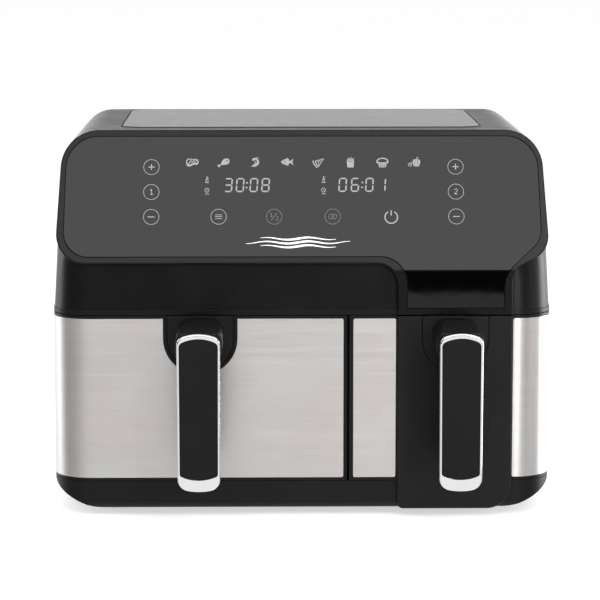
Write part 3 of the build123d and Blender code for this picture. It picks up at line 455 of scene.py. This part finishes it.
def split_mark():
    """A number one over a number two, for choosing a drawer."""
    slash = [[stroke([(-2.3, -3.0), (2.3, 3.0)], 0.45)]]
    return slash + moved(numeral_one(), -2.3, 1.5, 0.72) + moved(numeral_two(), 2.3, -1.5, 0.72)


def both_mark():
    """Two overlapping rings, for finishing together."""
    return [ring(-1.3, 0, 2.1, 0.42), ring(1.3, 0, 2.1, 0.42)]


def power_mark():
    return [[stroke(arc(0, -0.4, 4.9, 120, 420, steps=40), 0.95)], [stroke([(0, 0.9), (0, 5.2)], 0.95)]]


def thermometer():
    stem = [ring(0, -0.9, 1.3, 0.45), [stroke([(0, -0.6), (0, 2.6)], 0.85)]]
    marks = [[stroke([(0.75, v), (1.5, v)], 0.32)] for v in (0.9, 1.9)]
    return stem + marks + [[stroke([(-1.6, -2.7), (1.7, -2.7)], 0.55)]]


def small_clock():
    hands = stroke([(0, 1.6), (0, 0.5), (0.9, 0.1)], 0.42)
    return [ring(0, 0.6, 1.95, 0.5), [hands], [stroke([(-1.6, -2.6), (1.7, -2.6)], 0.55)]]


# Which of a digit's seven bars are lit: a top, b and c right, d bottom, e and f left, g middle
LIT_BARS = {"0": "abcdef", "1": "bc", "3": "abcdg", "6": "acdefg", "8": "abcdefg"}
DIGIT_HEIGHT = 11.4
DIGIT_WIDTH = 6.5
BAR = 1.1
LEAN = math.tan(math.radians(4))


def lit_bar(start, end):
    """One bar with pointed ends, between two corners of the digit."""
    a, b = Vector(start), Vector(end)
    along = (b - a).normalized()
    across = Vector((-along.y, along.x)) * BAR / 2
    a, b = a + along * 0.28, b - along * 0.28
    tip = along * BAR / 2
    corners = (a, a + tip + across, b - tip + across, b, b - tip - across, a + tip - across)
    return [tuple(corner) for corner in corners]


def digit(figure):
    left, right = BAR / 2, DIGIT_WIDTH - BAR / 2
    low, middle, high = BAR / 2, DIGIT_HEIGHT / 2, DIGIT_HEIGHT - BAR / 2
    ends = {"a": ((left, high), (right, high)), "b": ((right, middle), (right, high)),
            "c": ((right, low), (right, middle)), "d": ((left, low), (right, low)),
            "e": ((left, low), (left, middle)), "f": ((left, middle), (left, high)),
            "g": ((left, middle), (right, middle))}
    return [[[(x + v * LEAN, v) for x, v in lit_bar(*ends[bar])]] for bar in LIT_BARS[figure]]


def clock_face(figures, x, v, pitch):
    """Four figures with a colon in the middle."""
    places = (0, 9.5 * pitch, 20.6 * pitch, 30.1 * pitch)
    shapes = []
    for figure, place in zip(figures, places):
        shapes += moved(digit(figure), x + place, v)
    colon = x + 18.2 * pitch
    for height in (0.32, 0.66):
        rise = height * DIGIT_HEIGHT
        shapes.append([disc(colon + rise * LEAN, v + rise, 0.75, steps=12)])
    return shapes


WAVE_STEPS = 20


def air_mark():
    """Three drifting air currents, side by side, that stand where a maker's word would be."""
    shapes = []
    for row, reach in ((3.1, 0.72), (0.0, 1.0), (-3.1, 0.72)):
        half = 41 * reach
        line = []
        for step in range(-WAVE_STEPS, WAVE_STEPS + 1):
            share = step / WAVE_STEPS
            line.append((half * share, row + 0.9 * math.sin(share * math.pi * 2.5 * reach)))
        shapes.append([stroke(line[WAVE_STEPS:], 1.7, 0.25)])
        shapes.append([stroke(line[WAVE_STEPS::-1], 1.7, 0.25)])
    return shapes


def set_on_glass(name, material, shapes):
    """Every shape as a thin closed prism on the glass, in one piece.

    The thickness steps a little from shape to shape, so that tops that overlap don't share a plane.
    """
    mesh = bmesh.new()
    for number, loops in enumerate(shapes):
        top = 0.1 + 0.004 * (number % 8)
        flat = [point for loop in loops for point in loop]
        lower = [mesh.verts.new(on_glass(x, v, 0.01)) for x, v in flat]
        upper = [mesh.verts.new(on_glass(x, v, top)) for x, v in flat]
        for a, b, c in tessellate_polygon([[Vector((x, v, 0)) for x, v in loop] for loop in loops]):
            mesh.faces.new((upper[a], upper[b], upper[c]))
            mesh.faces.new((lower[c], lower[b], lower[a]))
        first = 0
        for loop in loops:
            for i in range(len(loop)):
                a, b = first + i, first + (i + 1) % len(loop)
                mesh.faces.new((lower[a], lower[b], upper[b], upper[a]))
            first += len(loop)
    bmesh.ops.recalc_face_normals(mesh, faces=mesh.faces)
    data = bpy.data.meshes.new(name)
    mesh.to_mesh(data)
    mesh.free()
    piece = bpy.data.objects.new(name, data)
    bpy.context.scene.collection.objects.link(piece)
    paint(piece, material)
    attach(piece, "housing")
    return piece


foods = (
    (steak, -86.3, 87.6), (drumstick, -61.7, 87.6), (shrimp, -36.8, 87.6), (fish, -11.7, 87.8),
    (pizza, 12.7, 87.3), (fries, 38.1, 87.3), (muffin, 63.3, 87.3), (vegetables, 88.1, 87.5),
)
food_shapes = [shape for draw, x, v in foods for shape in moved(draw(), x, v, 0.98)]
set_on_glass("food_symbols", print_look, food_shapes)

KEY_RADIUS = 6.3
KEY_LINE = 0.42
LOW_KEYS = 43.6  # how far up the slope the lowest row of keys is


def round_key(draw, x, v):
    """A symbol in the ring of a touch key."""
    return [ring(x, v, KEY_RADIUS, KEY_LINE)] + moved(draw(), x, v)


key_shapes = []
for x, numeral in ((-118.4, numeral_one), (120.8, numeral_two)):
    for draw, v in ((plus, 83.8), (numeral, 63.6), (minus, 43.5)):
        key_shapes += round_key(draw, x, v)
key_shapes += moved(power_mark(), 69.7, 43.4) + round_key(menu_bars, -65.6, LOW_KEYS)
set_on_glass("key_symbols", print_look, key_shapes)
dim_shapes = round_key(split_mark, -22.1, LOW_KEYS) + round_key(both_mark, 23.8, LOW_KEYS)
set_on_glass("dim_key_symbols", dim_look, dim_shapes)

small_shapes = []
for x in (-74.8, 16.8):
    small_shapes += moved(thermometer(), x, 73.7, 0.95) + moved(small_clock(), x, 64.4, 0.95)
set_on_glass("status_symbols", print_look, small_shapes)
clocks = clock_face("3008", -61.6, 63.4, 0.97) + clock_face("0601", 28.2, 63.5, 1.02)
set_on_glass("lit_digits", lit_look, clocks)
set_on_glass("front_mark", mark_look, moved(air_mark(), -3.4, 22.8))


# ---------------------------------------------------------------- floor, light and camera


def floor():
    """A large pale floor. Mirror-like reflections pass it, and see the room's own tones instead."""
    half, y_middle = 14.0, 4.0
    mesh = bmesh.new()
    bmesh.ops.create_grid(mesh, x_segments=8, y_segments=8, size=half)
    bmesh.ops.translate(mesh, verts=mesh.verts, vec=(0, y_middle, cad_low.z))
    data = bpy.data.meshes.new("floor")
    mesh.to_mesh(data)
    mesh.free()
    piece = bpy.data.objects.new("floor", data)
    bpy.context.scene.collection.objects.link(piece)
    glow = {"Emission Strength": 0.58, "Emission Color": (1, 1, 1, 1), "Specular IOR Level": 0.0}
    look = Look("floor_paper", glow)
    tone = look.noise(0.4, detail=2.0)
    colour = look.blend(tone, (0.9,) * 3, (0.92,) * 3)
    paint(piece, look.finish(colour, look.span(tone, 0, 1, 0.85, 0.95)))
    piece.visible_glossy = False


def room():
    """The surroundings by direction, as the gloss shows them.

    Ahead of the fryer there is a pale table, and a dark stretch above it. Behind, a wall that is
    brightest at the horizon and towards the right. The camera itself sees plain white.
    """
    world = bpy.data.worlds.new("room")
    bpy.context.scene.world = world
    world.use_nodes = True
    tree = world.node_tree
    links = tree.links

    def add(kind, inputs, **settings):
        made = tree.nodes.new(kind)
        for key, value in settings.items():
            setattr(made, key, value)
        for key, value in inputs.items():
            if isinstance(value, bpy.types.NodeSocket):
                links.new(value, made.inputs[key])
            else:
                made.inputs[key].default_value = value
        return made

    def steps(value, low, high, start, end):
        inputs = {"Value": value, "From Min": low, "From Max": high, "To Min": start, "To Max": end}
        return add("ShaderNodeMapRange", inputs, interpolation_type="SMOOTHSTEP").outputs["Result"]

    def between(factor, first, second):
        return add("ShaderNodeMix", {0: factor, 2: first, 3: second}, data_type="FLOAT").outputs[0]

    way = add("ShaderNodeTexCoord", {}).outputs["Generated"]
    parts = add("ShaderNodeSeparateXYZ", {"Vector": way}).outputs
    aside = add("ShaderNodeMath", {0: parts["X"]}, operation="ABSOLUTE").outputs[0]
    table = steps(aside, 0.5, 0.92, 0.96, 0.5)
    above_table = steps(parts["Z"], -0.1405, -0.1385, 0.0, 1.0)
    upper = steps(parts["Z"], 0.05, 0.35, 0.008, 0.3)
    ahead = between(above_table, table, upper)
    horizon = steps(parts["Z"], -0.1, -0.02, 1.0, 2.5)
    wall = between(steps(parts["Z"], 0.035, 0.07, 0.0, 1.0), horizon, 0.58)
    to_the_right = steps(parts["X"], 0.08, 0.18, 1.0, 1.4)
    behind = add("ShaderNodeMath", {0: wall, 1: to_the_right}, operation="MULTIPLY").outputs[0]
    round_the_back = steps(parts["Y"], -0.1, 0.4, 0.0, 1.0)
    seen = add("ShaderNodeLightPath", {}).outputs["Is Camera Ray"]
    strength = between(seen, between(round_the_back, ahead, behind), 1.0)
    background = tree.nodes["Background"]
    links.new(strength, background.inputs["Strength"])
    background.inputs["Color"].default_value = (1.0, 1.0, 1.0, 1.0)


def softbox(name, place, aim, width, height, brightness):
    """A flat soft light, square on to the point it is aimed at."""
    light = bpy.data.lights.new(name, "AREA")
    light.shape = "RECTANGLE"
    light.size, light.size_y = width, height
    light.energy = brightness * math.pi * width * height
    lamp = bpy.data.objects.new(name, light)
    lamp.location = place
    lamp.rotation_euler = (Vector(aim) - Vector(place)).to_track_quat("-Z", "Y").to_euler()
    lamp.visible_camera = False
    bpy.context.scene.collection.objects.link(lamp)


CAMERA_AHEAD = 2.0608
CAMERA_UP = 0.4687
CAMERA_LEFT = 0.0315
LOOK_DOWN = math.radians(8.17)
LOOK_RIGHT = math.radians(0.82)


def camera():
    """At the height and distance of a long-lens product shot, a little left of the middle."""
    data = bpy.data.cameras.new("camera")
    data.lens = 159.6
    data.sensor_width = 36.0
    eye = bpy.data.objects.new("camera", data)
    eye.location = (-CAMERA_LEFT, FRONT_Y - CAMERA_AHEAD, CAMERA_UP)
    eye.rotation_euler = (math.pi / 2 - LOOK_DOWN, 0, -LOOK_RIGHT)
    bpy.context.scene.collection.objects.link(eye)
    bpy.context.scene.camera = eye


floor()
room()
softbox("key", (0.0, -2.0, 1.55), (0, -0.1, 0.25), 2.6, 1.3, 2.6)
softbox("overhead", (0.0, 0.3, 2.4), (0, 0, 0), 2.2, 2.2, 0.8)
softbox("right_strip", (0.62, -1.55, 0.65), (0.1, -0.1, 0.15), 0.2, 1.5, 7.0)
softbox("right_side", (1.63, 0.48, 0.06), (0.15, 0, 0.15), 0.8, 0.7, 4.5)
softbox("right_fill", (1.7, -0.65, 0.5), (0.15, 0, 0.15), 1.1, 1.1, 1.0)
softbox("left_strip", (-1.5, 0.62, 0.6), (-0.15, 0, 0.15), 0.14, 1.5, 5.0)
softbox("left_side", (-1.6, -0.7, 0.9), (-0.1, 0, 0.15), 1.0, 1.0, 0.8)
camera()
bpy.context.scene.view_settings.view_transform = "Standard"
